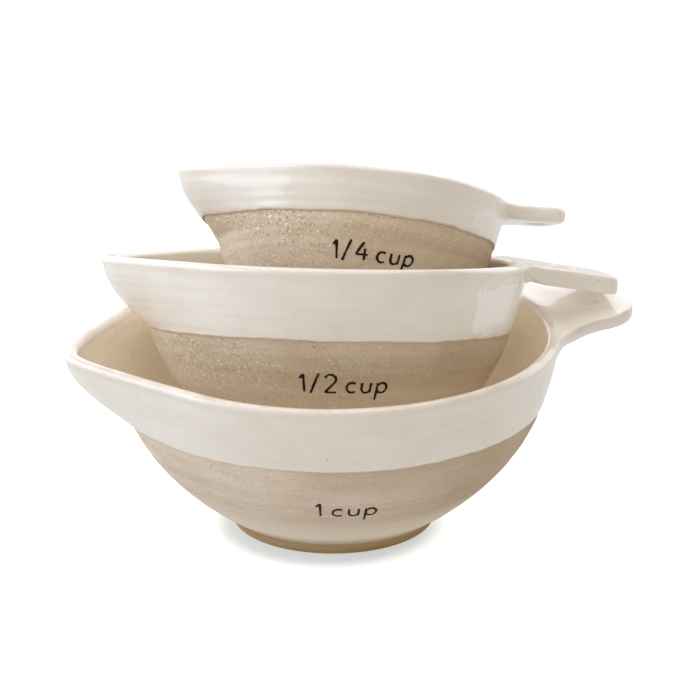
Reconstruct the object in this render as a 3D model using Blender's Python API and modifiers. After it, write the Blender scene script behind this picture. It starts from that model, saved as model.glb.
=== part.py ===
"""A nesting set of three stoneware measuring cups: one cup, half cup, quarter cup.

Each cup is a thrown bowl with a small foot, a pulled pouring spout and a flat tab
handle opposite the spout.  A glossy glaze coat covers the inside, the rim and a band
round the outside; the lower outside is bare stoneware with the capacity marked on it.
The half cup leans inside the one cup, and the quarter cup inside the half cup.

Units are metres, +Z up.  The origin is the centre of the one cup's foot, the handle
of the one cup points along +X and its spout along -X.
"""

import math

import bpy
import bmesh
from mathutils import Matrix, Vector

MM = 0.001

# ---------------------------------------------------------------- dimensions
COAT = 0.55 * MM  # thickness of the glaze coat
GAP = 0.25 * MM  # gap between neighbouring solids
FACE_TURN = math.radians(14.0)  # turn of the marked face from -Y, towards the spout

# Each cup in its own frame: foot centre at the origin, handle along +X, spout along -X.
#   flare, swell, belly        shape of the wall, see wall_radius
#   band                       depth of the outside glaze below the rim
#   spout_angle                degrees either side of -X that the spout spreads over
#   handle_w, root_w           width of the tab's parallel part, and at the rim
#   handle_drop                top of the tab below the rim
#   handle_rise, handle_twist  tilt of the tab upwards and about its length, in degrees
#   end_power, end_depth       squareness of the tab's end, and its length / half width
#   far_edge                   where the straight +Y edge ends: x, y, and its slope;
#                              None where the tab is symmetrical
#   mark_z, mark_h, mark_turn  height of the mark's centre, height of a capital, and
#                              degrees from the middle of the marked face to the handle
CUPS = {
    "one_cup": dict(
        height=50.0 * MM, rim_r=57.1 * MM, wall=3.4 * MM,
        foot_h=3.2 * MM, foot_r=25.6 * MM, base_r=27.0 * MM,
        flare=0.30, swell=1.0, belly=3.0,
        floor_z=6.2 * MM, floor_r=22.0 * MM,
        band=17.0 * MM,
        spout_angle=40.0, spout_drop=19.0 * MM, spout_power=2.0,
        handle_tip=77.8 * MM, handle_t=3.4 * MM, handle_w=19.5 * MM, root_w=31.0 * MM,
        handle_drop=0.6 * MM, handle_rise=6.0, handle_twist=0.0,
        end_power=2.2, end_depth=1.0,
        far_edge=(70.4 * MM, 12.6 * MM, 0.87),
        hole_x=68.4 * MM, hole_y=3.5 * MM, hole_r=2.3 * MM,
        mark="1 cup", mark_z=20.0 * MM, mark_h=5.6 * MM, mark_turn=4.4,
        segments=44,
    ),
    "half_cup": dict(
        height=43.0 * MM, rim_r=49.2 * MM, wall=3.2 * MM,
        foot_h=3.0 * MM, foot_r=21.5 * MM, base_r=22.5 * MM,
        flare=0.0, swell=0.45, belly=1.31,
        floor_z=6.0 * MM, floor_r=19.0 * MM,
        band=17.4 * MM,
        spout_angle=38.6, spout_drop=18.0 * MM, spout_power=2.0,
        handle_tip=73.3 * MM, handle_t=4.5 * MM, handle_w=21.2 * MM, root_w=28.0 * MM,
        handle_drop=0.3 * MM, handle_rise=-7.5, handle_twist=3.0,
        end_power=4.4, end_depth=0.55,
        far_edge=None,
        hole_x=60.5 * MM, hole_y=0.0, hole_r=2.4 * MM,
        mark="1/2 cup", mark_z=14.6 * MM, mark_h=5.2 * MM, mark_turn=5.3,
        segments=40,
    ),
    "quarter_cup": dict(
        height=31.5 * MM, rim_r=37.2 * MM, wall=2.8 * MM,
        foot_h=2.5 * MM, foot_r=17.0 * MM, base_r=18.0 * MM,
        flare=0.0, swell=0.42, belly=1.45,
        floor_z=5.2 * MM, floor_r=15.0 * MM,
        band=11.4 * MM,
        spout_angle=43.4, spout_drop=15.5 * MM, spout_power=2.1,
        handle_tip=54.0 * MM, handle_t=4.0 * MM, handle_w=18.5 * MM, root_w=24.0 * MM,
        handle_drop=-1.4 * MM, handle_rise=4.0, handle_twist=5.0,
        end_power=3.0, end_depth=0.55,
        far_edge=None,
        hole_x=48.0 * MM, hole_y=0.0, hole_r=2.5 * MM,
        mark="1/4 cup", mark_z=10.6 * MM, mark_h=4.9 * MM, mark_turn=7.6,
        segments=34,
    ),
}

# How each cup rests: centre of its rim, then its lean back and its roll, in degrees,
# about the axes of the marked face.
REST = {
    "one_cup": dict(rim=(0.0, 0.0, CUPS["one_cup"]["height"]), lean=0.0, roll=0.0),
    "half_cup": dict(rim=(1.4 * MM, 7.4 * MM, 66.4 * MM), lean=15.7, roll=1.4),
    "quarter_cup": dict(rim=(11.6 * MM, 20.1 * MM, 78.9 * MM), lean=28.4, roll=5.6),
}

STONEWARE = dict(colour=(0.46, 0.38, 0.29, 1.0), roughness=0.85)
GLAZE = dict(colour=(0.84, 0.79, 0.70, 1.0), roughness=0.15)
INK = dict(colour=(0.03, 0.025, 0.02, 1.0), roughness=0.6)
SHARP_ANGLE = math.radians(35)


# ---------------------------------------------------------------- scene and materials
def clear_scene():
    for obj in list(bpy.data.objects):
        bpy.data.objects.remove(obj, do_unlink=True)
    for name in ("measuring_cup_set", "cutters"):
        old = bpy.data.collections.get(name)
        if old:
            bpy.data.collections.remove(old)


def new_collection(name):
    made = bpy.data.collections.new(name)
    bpy.context.scene.collection.children.link(made)
    return made


def linked_object(name, data, collection):
    obj = bpy.data.objects.new(name, data)
    collection.objects.link(obj)
    return obj


def paint(obj, colour, roughness):
    material = bpy.data.materials.new(obj.name)
    material.use_nodes = True
    shader = material.node_tree.nodes["Principled BSDF"]
    shader.inputs["Base Color"].default_value = colour
    shader.inputs["Roughness"].default_value = roughness
    shader.inputs["Metallic"].default_value = 0.0
    material.diffuse_color = colour
    obj.data.materials.append(material)


def finish(obj, surface, parent):
    obj.parent = parent
    paint(obj, **surface)
    obj.data.shade_smooth()
    obj.data.set_sharp_from_angle(angle=SHARP_ANGLE)


def realised(obj, collection, name):
    """The evaluated object as a plain mesh object, in place of the original."""
    bpy.context.view_layer.update()
    graph = bpy.context.evaluated_depsgraph_get()
    mesh = bpy.data.meshes.new_from_object(obj.evaluated_get(graph), depsgraph=graph)
    mesh.name = name
    bpy.data.objects.remove(obj, do_unlink=True)
    work = bmesh.new()
    work.from_mesh(mesh)
    bmesh.ops.remove_doubles(work, verts=work.verts, dist=1e-7)
    work.to_mesh(mesh)
    work.free()
    return linked_object(name, mesh, collection)


def add_boolean(target, helper, name, operation, solver, parent):
    """Combines target with a helper object that is itself kept out of the render."""
    helper.parent = parent
    helper.hide_render = True
    helper.display_type = "WIRE"
    boolean = target.modifiers.new(name, "BOOLEAN")
    boolean.operation = operation
    boolean.solver = solver
    boolean.object = helper


# ---------------------------------------------------------------- the wall's profile
FLOOR_DIP = 0.3 * MM  # the floor's middle below its edge
FLOOR_RING_DIP = 0.2 * MM  # the same at a ring part of the way out
FLOOR_RING = 0.7  # that ring's share of the floor's radius
INSIDE_SPACING = 1.7  # above 1 crowds the inside points towards the floor
OUTSIDE_SPACING = 1.25  # above 1 crowds the outside points towards the lower end


def wall_radius(cup, z, low_z, low_r, high_r):
    """Radius at z of a wall that runs from low_r at low_z to high_r at the cup's height:
    a straight cone by the share flare, and a bellied curve by the rest."""
    t = min(max((z - low_z) / (cup["height"] - low_z), 0.0), 1.0)
    rise = 1.0 - (1.0 - t ** cup["swell"]) ** cup["belly"]
    return low_r + (high_r - low_r) * (cup["flare"] * t + (1.0 - cup["flare"]) * rise)


def outer_r(cup, z):
    return wall_radius(cup, z, cup["foot_h"], cup["base_r"], cup["rim_r"])


def inner_r(cup, z):
    return wall_radius(cup, z, cup["floor_z"], cup["floor_r"], cup["rim_r"] - cup["wall"])


def rim_start(cup):
    """The height where the walls end and the rounded rim starts."""
    return cup["height"] - cup["wall"] / 2


def inside_points(cup, count):
    """The inside as (r, z), from the middle of the floor up to the start of the rim."""
    floor_z, floor_r = cup["floor_z"], cup["floor_r"]
    points = [(0.0, floor_z - FLOOR_DIP), (floor_r * FLOOR_RING, floor_z - FLOOR_RING_DIP)]
    for i in range(count):
        t = (i / (count - 1)) ** INSIDE_SPACING
        z = floor_z + (rim_start(cup) - floor_z) * t
        points.append((inner_r(cup, z), z))
    return points


def rim_points(cup, count):
    """The rounded rim, from inside to outside, without its two ends."""
    base = rim_start(cup)
    inside, outside = inner_r(cup, base), outer_r(cup, base)
    points = []
    for i in range(1, count + 1):
        turn = math.pi * i / (count + 1)
        r = (inside + outside) / 2 - (outside - inside) / 2 * math.cos(turn)
        points.append((r, base + cup["wall"] / 2 * math.sin(turn)))
    return points


def outside_points(cup, z_from, z_to, count):
    """The outside between two heights, going down."""
    points = []
    for i in range(count):
        t = 1.0 - (1.0 - i / (count - 1)) ** OUTSIDE_SPACING
        z = z_from + (z_to - z_from) * t
        points.append((outer_r(cup, z), z))
    return points


def covered_face(cup, rim_count):
    """The glazed face: the inside, the rim and the band round the outside."""
    edge = cup["height"] - cup["band"]
    face = inside_points(cup, 6) + rim_points(cup, rim_count)
    return face + outside_points(cup, rim_start(cup), edge, 4)


def inset(points, depth):
    """The line moved into the clay, which is on its right; the first point, on the
    axis, moves straight down."""
    moved = [(points[0][0], points[0][1] - depth)]
    for i, (r, z) in enumerate(points[1:], start=1):
        r0, z0 = points[i - 1]
        r1, z1 = points[min(i + 1, len(points) - 1)]
        length = math.hypot(r1 - r0, z1 - z0)
        normal_r, normal_z = (z1 - z0) / length, -(r1 - r0) / length
        moved.append((max(r + normal_r * depth, 0.0), z + normal_z * depth))
    return moved


def heights_of(points):
    return [z for r, z in points]


# ---------------------------------------------------------------- turning and the spout
SPOUT_ROUND = math.radians(6.0)  # softens the tip where the spout's two sides meet


def from_spout(theta):
    """The angle between theta and the spout's direction, -X."""
    return abs(math.pi - theta % (2 * math.pi))


def spout_reach(cup, theta):
    """How far the rim is drawn out at this angle, as a factor on its radius: a round
    plan with two tangents that meet in a rounded tip on -X."""
    spread = math.radians(cup["spout_angle"])
    return 1.0 / math.cos(spread - min(math.hypot(from_spout(theta), SPOUT_ROUND), spread))


def spout_share(cup, z):
    """The share of that reach at this height: all at the rim, none below the spout."""
    t = (z - (cup["height"] - cup["spout_drop"])) / cup["spout_drop"]
    return 1.0 - (1.0 - min(max(t, 0.0), 1.0)) ** cup["spout_power"]


def split_quads(mesh, places):
    """Splits each quad along the diagonal that falls away from the spout, so that faces
    one over the other are split alike and keep their gap where the spout twists them.
    places holds (angle from the spout, height) for each vertex."""
    faces = []
    for face in mesh.polygons:
        ring = list(face.vertices)
        if len(ring) != 4:
            faces.append(ring)
            continue
        turn = sum(places[i][0] for i in ring) / 4
        level = sum(places[i][1] for i in ring) / 4
        lean = [(places[i][0] - turn) * (places[i][1] - level) for i in ring]
        if lean[0] + lean[2] > lean[1] + lean[3]:
            ring = ring[1:] + ring[:1]
        faces += [ring[:3], [ring[0], ring[2], ring[3]]]
    points = [vertex.co.copy() for vertex in mesh.vertices]
    mesh.clear_geometry()
    mesh.from_pydata(points, [], faces)


def draw_out_spout(mesh, profile, heights, cup):
    """Moves the vertices out to the spout and returns the places for split_quads."""
    places = []
    for vertex in mesh.vertices:
        x, y, z = vertex.co
        r = math.hypot(x, y)
        if r <= 1e-6:
            places.append((0.0, z))
            continue
        theta = math.atan2(y, x)
        nearest = min(
            range(len(profile)),
            key=lambda i: math.hypot(profile[i][0] - r, profile[i][1] - z),
        )
        height = heights[nearest]
        grow = 1.0 + spout_share(cup, height) * (spout_reach(cup, theta) - 1.0)
        vertex.co.x *= grow
        vertex.co.y *= grow
        places.append((from_spout(theta), height))
    return places


def turned(name, profile, heights, cup, collection):
    """The profile turned about Z, with the spout drawn out of it.  heights holds, for
    each point of the profile, the height on the cup's face that it follows."""
    mesh = bpy.data.meshes.new(name + "_profile")
    edges = [(i, i + 1) for i in range(len(profile) - 1)]
    mesh.from_pydata([(r, 0.0, z) for r, z in profile], edges, [])
    obj = linked_object(name + "_profile", mesh, collection)
    screw = obj.modifiers.new("turn", "SCREW")
    screw.axis = "Z"
    screw.angle = 2 * math.pi
    screw.steps = screw.render_steps = cup["segments"]
    screw.use_merge_vertices = True
    screw.merge_threshold = 0.00001
    made = realised(obj, collection, name)
    split_quads(made.data, draw_out_spout(made.data, profile, heights, cup))
    return made


# ---------------------------------------------------------------- bowl and glaze
FOOT_CHAMFER = 0.5 * MM  # at the foot's bottom edge
FOOT_FLARE = 0.1 * MM  # extra radius at the top of the foot
FOOT_STEP = 0.4 * MM  # top of the foot below the end of the wall


def bowl_body(name, cup, collection):
    """The stoneware, set back under the coat and at its full size below it."""
    edge = cup["height"] - cup["band"] - GAP
    depth = COAT + GAP
    covered = covered_face(cup, 1)
    bare = [
        (outer_r(cup, edge) - depth, edge),
        *outside_points(cup, edge, cup["foot_h"], 6),
        (cup["foot_r"] + FOOT_FLARE, cup["foot_h"] - FOOT_STEP),
        (cup["foot_r"], FOOT_CHAMFER),
        (cup["foot_r"] - FOOT_CHAMFER, 0.0),
        (0.0, 0.0),
    ]
    return turned(name, inset(covered, depth) + bare, heights_of(covered + bare), cup, collection)


def glaze_coat(name, cup, collection):
    """One closed skin over the inside, the rim and the band round the outside."""
    seen = covered_face(cup, 3)
    hidden = covered_face(cup, 1)
    profile = seen + inset(hidden, COAT)[::-1]
    return turned(name, profile, heights_of(seen + hidden[::-1]), cup, collection)


# ---------------------------------------------------------------- handle
ROOT_DEPTH = 9.0 * MM  # how far inside the rim's radius the outline starts
FAR_ROOT_DEPTH = 12.0 * MM  # the same for a straight far edge
FLARE_SHARE = 0.55  # share of the tab beyond the rim that its flare takes up
FLARE_LIMIT = 1.7  # keeps the flare from running on inside the rim
END_STEPS = 8  # segments in each half of the tab's end
TAB_BEVEL = 0.9 * MM
DRILL_DEPTH = 20 * MM
SEAT_ABOVE_RIM = 12 * MM  # how far the seat cutter stands above the rim


def near_outline(cup):
    """Half of the tab's outline: flared at the root, then parallel, then a rounded end."""
    rim_r, tip = cup["rim_r"], cup["handle_tip"]
    start = rim_r - ROOT_DEPTH
    half, root = cup["handle_w"] / 2, cup["root_w"] / 2
    flare_end = rim_r + FLARE_SHARE * (tip - rim_r)
    bend = tip - half * cup["end_depth"]
    points = []
    for i in range(9):
        x = start + (bend - start) * i / 8
        flare = min(max((flare_end - x) / (flare_end - rim_r), 0.0), FLARE_LIMIT)
        points.append((x, half + (root - half) * flare * flare))
    power = 2.0 / cup["end_power"]
    for i in range(1, END_STEPS):
        turn = math.pi / 2 * i / END_STEPS
        x = bend + (tip - bend) * math.sin(turn) ** power
        points.append((x, half * math.cos(turn) ** power))
    return points + [(tip, 0.0)]


def far_outline(cup):
    """The +Y half: like the other, or a straight edge with a rounded corner to the tip."""
    if cup["far_edge"] is None:
        return near_outline(cup)
    start, tip = cup["rim_r"] - FAR_ROOT_DEPTH, cup["handle_tip"]
    end_x, end_y, slope = cup["far_edge"]
    points = []
    for i in range(7):
        x = start + (end_x - start) * i / 6
        points.append((x, end_y + (end_x - x) * slope))
    corner_y = end_y - (tip - end_x) * slope
    for i in range(1, END_STEPS):
        # a quadratic Bezier from the straight edge, by the corner, to the tip
        t = i / END_STEPS
        from_edge, from_corner, from_tip = (1 - t) ** 2, 2 * t * (1 - t), t * t
        x = from_edge * end_x + from_corner * tip + from_tip * tip
        points.append((x, from_edge * end_y + from_corner * corner_y))
    return points + [(tip, 0.0)]


def poly_spline(curve, points):
    spline = curve.splines.new("POLY")
    spline.points.add(len(points) - 1)
    for point, place in zip(spline.points, points):
        point.co = (*place, 1.0)
    return spline


def flat_tab(name, cup, collection):
    """The outline as a plate, with its top at the rim end tilted about the rim."""
    ring = [(x, -y, 0.0) for x, y in near_outline(cup)]
    ring += [(x, y, 0.0) for x, y in far_outline(cup)[-2::-1]]
    curve = bpy.data.curves.new(name + "_outline", "CURVE")
    curve.dimensions = "2D"
    curve.fill_mode = "BOTH"
    curve.extrude = cup["handle_t"] / 2
    poly_spline(curve, ring).use_cyclic_u = True
    flat = linked_object(name + "_outline", curve, collection)
    tab = realised(flat, collection, name)
    pivot = Vector((cup["rim_r"], 0.0, cup["height"] - cup["handle_drop"]))
    tab.data.transform(Matrix.Translation((-cup["rim_r"], 0.0, -cup["handle_t"] / 2)))
    tab.data.transform(
        Matrix.Translation(pivot)
        @ Matrix.Rotation(math.radians(-cup["handle_rise"]), 4, "Y")
        @ Matrix.Rotation(math.radians(cup["handle_twist"]), 4, "X")
    )
    return tab


def seat_cutter(name, cup, cutters):
    """The bowl's outside with a gap round it, which the handle's root is fitted to."""
    base = rim_start(cup)
    top = cup["height"] + SEAT_ABOVE_RIM
    profile = [(0.0, top), (cup["rim_r"] + GAP, top), (outer_r(cup, base) + GAP, base)]
    wall = outside_points(cup, base, cup["foot_h"], 8)[1:]
    profile += [(r + GAP, z - GAP / 2) for r, z in wall]
    profile.append((0.0, cup["foot_h"] - GAP))
    return turned(name, profile, heights_of(profile), cup, cutters)


def hole_cutter(name, cup, cutters):
    bpy.ops.mesh.primitive_cylinder_add(vertices=20, radius=cup["hole_r"], depth=DRILL_DEPTH)
    drill = bpy.context.object
    drill.name = name
    drill.location = (cup["hole_x"], cup["hole_y"], cup["height"])
    for other in list(drill.users_collection):
        other.objects.unlink(drill)
    cutters.objects.link(drill)
    return drill


def handle(name, cup, collection, cutters, parent):
    tab = flat_tab(name, cup, collection)
    edge = tab.modifiers.new("edge", "BEVEL")
    edge.width = TAB_BEVEL
    edge.segments = 1
    edge.limit_method = "ANGLE"
    edge.angle_limit = math.radians(50)
    seat = seat_cutter(name + "_seat_cutter", cup, cutters)
    drill = hole_cutter(name + "_hole_cutter", cup, cutters)
    for cutter in (seat, drill):
        add_boolean(tab, cutter, cutter.name, "DIFFERENCE", "MANIFOLD", parent)
    return tab


# ---------------------------------------------------------------- capacity marks
STROKE_R = 0.30 * MM  # half the thickness of a stroke
STROKE_PIECE = 1.6 * MM  # longest straight piece of a stroke
MARK_MIDDLE = 0.4  # height on the letter grid that sits at mark_z
LETTER_SPACE, WORD_SPACE = 0.17, 0.42  # on the letter grid


def arc(centre_x, centre_y, radius_x, radius_y, start, end, count):
    """Points along an elliptical arc, with start and end in degrees."""
    angles = [math.radians(start + (end - start) * i / (count - 1)) for i in range(count)]
    return [
        (centre_x + radius_x * math.cos(a), centre_y + radius_y * math.sin(a)) for a in angles
    ]


# Single-line letterforms on a grid where a capital is 1 high: (width, strokes).
GLYPHS = {
    "1": (0.28, [[(0.02, 0.74), (0.20, 1.0), (0.20, 0.0)]]),
    "/": (0.52, [[(0.04, -0.08), (0.46, 1.08)]]),
    "2": (0.60, [arc(0.29, 0.72, 0.25, 0.28, 165, -35, 9) + [(0.04, 0.0), (0.58, 0.0)]]),
    "4": (0.66, [[(0.40, 1.0), (0.03, 0.32), (0.64, 0.32)], [(0.46, 0.66), (0.46, 0.0)]]),
    "c": (0.52, [arc(0.28, 0.28, 0.25, 0.28, 48, 312, 11)]),
    "u": (
        0.56,
        [[(0.05, 0.56)] + arc(0.26, 0.22, 0.21, 0.22, 180, 360, 9), [(0.47, 0.56), (0.47, 0.0)]],
    ),
    "p": (0.58, [[(0.06, 0.56), (0.06, -0.42)], arc(0.29, 0.28, 0.23, 0.28, 150, -150, 12)]),
}
GLYPH_NAMES = {"/": "slash"}


def layout(text):
    """(character, left edge) of each glyph, centred on 0."""
    x, placed = 0.0, []
    for character in text:
        if character == " ":
            x += WORD_SPACE - LETTER_SPACE
            continue
        placed.append((character, x))
        x += GLYPHS[character][0] + LETTER_SPACE
    middle = (x - LETTER_SPACE) / 2
    return [(character, left - middle) for character, left in placed]


def outer_slope(cup, z):
    step = 0.1 * MM
    return (outer_r(cup, z + step) - outer_r(cup, z - step)) / (2 * step)


def on_wall(cup, across, up, proud):
    """A point proud of the bare outside, across and up from the mark's centre."""
    centre_z = cup["mark_z"]
    z = centre_z + up / math.hypot(1.0, outer_slope(cup, centre_z))
    slope = outer_slope(cup, z)
    length = math.hypot(1.0, slope)
    middle = -math.pi / 2 - FACE_TURN + math.radians(cup["mark_turn"])
    azimuth = middle + across / outer_r(cup, centre_z)
    r = outer_r(cup, z) + proud / length
    return (r * math.cos(azimuth), r * math.sin(azimuth), z - proud * slope / length)


def mark_tube(name, cup, stroke, left, collection):
    """One stroke as a round bead that follows the wall."""
    size = cup["mark_h"]
    fine = []
    for (x0, y0), (x1, y1) in zip(stroke, stroke[1:]):
        pieces = max(1, math.ceil(math.hypot(x1 - x0, y1 - y0) * size / STROKE_PIECE))
        fine += [(x0 + (x1 - x0) * i / pieces, y0 + (y1 - y0) * i / pieces) for i in range(pieces)]
    fine.append(stroke[-1])
    curve = bpy.data.curves.new(name, "CURVE")
    curve.dimensions = "3D"
    curve.bevel_depth = STROKE_R
    curve.bevel_resolution = 0
    curve.use_fill_caps = True
    poly_spline(curve, [
        on_wall(cup, (x + left) * size, (y - MARK_MIDDLE) * size, GAP + STROKE_R)
        for x, y in fine
    ])
    return realised(linked_object(name, curve, collection), collection, name)


def capacity_marks(prefix, cup, collection, cutters, parent):
    """One object per glyph, its further strokes joined on from helpers."""
    made = []
    for character, left in layout(cup["mark"]):
        name = prefix + GLYPH_NAMES.get(character, character)
        first, *others = GLYPHS[character][1]
        glyph = mark_tube(name, cup, first, left, collection)
        for number, stroke in enumerate(others, start=2):
            extra = mark_tube(f"{name}_stroke{number}", cup, stroke, left, cutters)
            add_boolean(glyph, extra, "join", "UNION", "EXACT", parent)
        made.append(glyph)
    return made


# ---------------------------------------------------------------- the set
def rest_matrix(cup, rim, lean, roll):
    return (
        Matrix.Translation(rim)
        @ Matrix.Rotation(-FACE_TURN, 4, "Z")
        @ Matrix.Rotation(math.radians(roll), 4, "Y")
        @ Matrix.Rotation(math.radians(-lean), 4, "X")
        @ Matrix.Rotation(FACE_TURN, 4, "Z")
        @ Matrix.Translation((0.0, 0.0, -cup["height"]))
    )


def main():
    clear_scene()
    parts = new_collection("measuring_cup_set")
    cutters = new_collection("cutters")
    for name, cup in CUPS.items():
        place = linked_object(name + "_place", None, parts)
        place.empty_display_size = 0.02
        place.matrix_world = rest_matrix(cup, **REST[name])
        finish(bowl_body(name + "_bowl", cup, parts), STONEWARE, place)
        finish(glaze_coat(name + "_glaze", cup, parts), GLAZE, place)
        finish(handle(name + "_handle", cup, parts, cutters, place), GLAZE, place)
        for glyph in capacity_marks(name + "_mark_", cup, parts, cutters, place):
            finish(glyph, INK, place)


main()
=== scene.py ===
"""Looks of the measuring cup set: three glazed stoneware cups nested in one another.

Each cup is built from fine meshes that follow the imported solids:
  CUP_stoneware   the thrown bowl with its foot            for the node CUP_bowl
  CUP_glazed      the coat and the handle, one glazed skin for CUP_glaze and CUP_handle
  CUP_ink_*       the characters of the capacity mark      for CUP_mark_*
A cup's meshes are made in its own frame: foot centre at the origin, +Z up, handle along
+X, spout along -X.  A matrix then moves their points to where the cup rests in the set.
"""

import math
from collections import namedtuple
from dataclasses import dataclass

import bmesh
import bpy
import numpy as np
from mathutils import Matrix, Vector


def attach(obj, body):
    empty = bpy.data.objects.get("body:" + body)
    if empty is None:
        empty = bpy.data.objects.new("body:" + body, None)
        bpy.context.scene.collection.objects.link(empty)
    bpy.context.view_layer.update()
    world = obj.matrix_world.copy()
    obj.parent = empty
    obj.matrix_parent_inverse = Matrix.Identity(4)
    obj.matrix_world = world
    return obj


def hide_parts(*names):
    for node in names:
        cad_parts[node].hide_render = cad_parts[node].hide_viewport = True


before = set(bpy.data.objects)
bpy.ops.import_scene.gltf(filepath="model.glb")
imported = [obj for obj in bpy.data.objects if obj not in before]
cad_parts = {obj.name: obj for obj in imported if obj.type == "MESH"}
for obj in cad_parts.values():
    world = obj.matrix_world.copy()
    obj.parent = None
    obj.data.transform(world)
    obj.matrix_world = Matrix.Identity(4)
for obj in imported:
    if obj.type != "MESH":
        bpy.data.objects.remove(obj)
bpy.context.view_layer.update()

MM = 0.001  # shapes are in millimetres, and scaled by this as they become meshes
FACE_TURN = math.radians(14.0)  # the marked side is turned this far from -Y
FLOOR_DIP = 0.3  # the inside of the floor is this much lower at its middle
RING_DEPTH = 0.05  # depth of the throwing rings
COAT_DEPTH = 0.55  # thickness of the coat away from its edges
CLAY_DEPTH = 0.80  # how far the clay lies under the glazed surface
HIDDEN_STEPS = 26  # points along the hidden inside of the bowl


# ------------------------------------------------------------------ the cups' sizes
@dataclass(frozen=True)
class Cup:
    """Lengths in millimetres, angles in degrees."""

    name: str
    # where it rests: the rim's centre, then turns about the marked side's axes
    rest: tuple
    lean: float
    roll: float
    # bowl
    height: float
    rim_r: float
    wall: float
    foot_h: float
    foot_r: float
    base_r: float  # wall's radius where it meets the foot
    flare: float  # share of the wall's profile that is a straight cone
    swell: float  # powers that shape the rest of the profile
    belly: float
    floor_z: float
    floor_r: float
    band: float  # from the rim down to the glaze's edge
    line_tilt: float  # how much higher the glaze's edge is at the handle
    groove: float  # depth of the soft groove under the lip
    rim_lift: float  # rise of the rim at the handle
    # spout
    spout_angle: float
    spout_drop: float  # height over which it fades into the wall
    spout_power: float
    # handle
    handle_tip: float
    handle_t: float
    handle_w: float
    root_w: float
    far_edge: tuple  # on the +Y side, the straight edge's x and y at its end, and slope
    handle_drop: float  # top face below the rim
    handle_rise: float  # slopes of the top face along X and along Y
    handle_twist: float
    end_power: float  # squareness of the handle's end
    edge: float  # width of the rounded edge, and its squareness
    edge_power: float
    fillet_out: float
    fillet_down: float
    hole_x: float
    hole_y: float
    hole_r: float
    # capacity mark
    mark: str
    mark_z: float
    mark_h: float
    mark_turn: float
    # finish and mesh
    pool: float  # strength of the painted reflection, a pale patch beside the handle
    seed: int
    columns: int  # columns of the mesh clear of the handle
    tab_columns: int  # and across the handle
    spout_round: float = 6.0

    @property
    def rim_base(self):
        """Height where the rim's half circle starts."""
        return self.height - self.wall / 2

    @property
    def glaze_level(self):
        return self.height - self.band

    @property
    def floor_mid(self):
        return self.floor_z - FLOOR_DIP


CUPS = [
    Cup(
        name="one_cup", rest=(0.0, 0.0, 50.0), lean=0.0, roll=0.0,
        height=50.0, rim_r=57.1, wall=3.4, foot_h=3.2, foot_r=25.6, base_r=27.0,
        flare=0.30, swell=1.0, belly=3.0, floor_z=6.2, floor_r=22.0,
        band=17.0, line_tilt=0.35, groove=0.36, rim_lift=0.0,
        spout_angle=40.0, spout_drop=19.0, spout_power=2.0,
        handle_tip=77.8, handle_t=3.4, handle_w=19.5, root_w=31.0, far_edge=(70.4, 12.6, 0.87),
        handle_drop=0.6, handle_rise=6.0, handle_twist=0.0, end_power=2.2,
        edge=0.7, edge_power=2.2, fillet_out=11.0, fillet_down=8.0,
        hole_x=68.4, hole_y=3.5, hole_r=2.3,
        mark="1 cup", mark_z=20.0, mark_h=5.6, mark_turn=4.4,
        pool=0.0, seed=3, columns=330, tab_columns=96,
    ),
    Cup(
        name="half_cup", rest=(1.4, 7.4, 66.4), lean=15.7, roll=1.4,
        height=43.0, rim_r=49.2, wall=3.2, foot_h=3.0, foot_r=21.5, base_r=22.5,
        flare=0.0, swell=0.45, belly=1.31, floor_z=6.0, floor_r=19.0,
        band=17.4, line_tilt=0.0, groove=0.20, rim_lift=0.0,
        spout_angle=38.6, spout_drop=18.0, spout_power=2.0,
        handle_tip=73.3, handle_t=4.5, handle_w=21.2, root_w=28.0, far_edge=None,
        handle_drop=0.3, handle_rise=-7.5, handle_twist=3.0, end_power=4.4,
        edge=1.2, edge_power=3.0, fillet_out=1.4, fillet_down=1.3,
        hole_x=60.5, hole_y=0.0, hole_r=2.4,
        mark="1/2 cup", mark_z=14.6, mark_h=5.2, mark_turn=5.3,
        pool=1.0, seed=11, columns=300, tab_columns=92,
    ),
    Cup(
        name="quarter_cup", rest=(11.6, 20.1, 78.9), lean=28.4, roll=5.6,
        height=31.5, rim_r=37.2, wall=2.8, foot_h=2.5, foot_r=17.0, base_r=18.0,
        flare=0.0, swell=0.42, belly=1.45, floor_z=5.2, floor_r=15.0,
        band=11.4, line_tilt=0.0, groove=0.16, rim_lift=1.3,
        spout_angle=43.4, spout_drop=15.5, spout_power=2.1,
        handle_tip=54.0, handle_t=4.0, handle_w=18.5, root_w=24.0, far_edge=None,
        handle_drop=-1.4, handle_rise=4.0, handle_twist=5.0, end_power=3.0,
        edge=1.7, edge_power=2.4, fillet_out=3.0, fillet_down=3.0,
        hole_x=48.0, hole_y=0.0, hole_r=2.5,
        mark="1/4 cup", mark_z=10.6, mark_h=4.9, mark_turn=7.6,
        pool=1.0, seed=23, columns=260, tab_columns=84,
    ),
]


def rest_matrix(cup):
    return (
        Matrix.Translation([v * MM for v in cup.rest])
        @ Matrix.Rotation(-FACE_TURN, 4, "Z")
        @ Matrix.Rotation(math.radians(cup.roll), 4, "Y")
        @ Matrix.Rotation(math.radians(-cup.lean), 4, "X")
        @ Matrix.Rotation(FACE_TURN, 4, "Z")
        @ Matrix.Translation((0.0, 0.0, -cup.height * MM))
    )


# ------------------------------------------------------------------ curves
def smooth(t):
    t = np.clip(t, 0.0, 1.0)
    return t * t * (3.0 - 2.0 * t)


def segment_lengths(points):
    return np.hypot(*np.diff(points, axis=0).T)


def lengths_along(points):
    """The length of the polyline from its start to each point."""
    return np.concatenate([[0.0], np.cumsum(segment_lengths(points))])


def points_at(want, run, points):
    """The polyline's points at the wanted lengths; run is its lengths_along."""
    return np.stack([np.interp(want, run, points[:, k]) for k in range(2)], 1)


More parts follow.
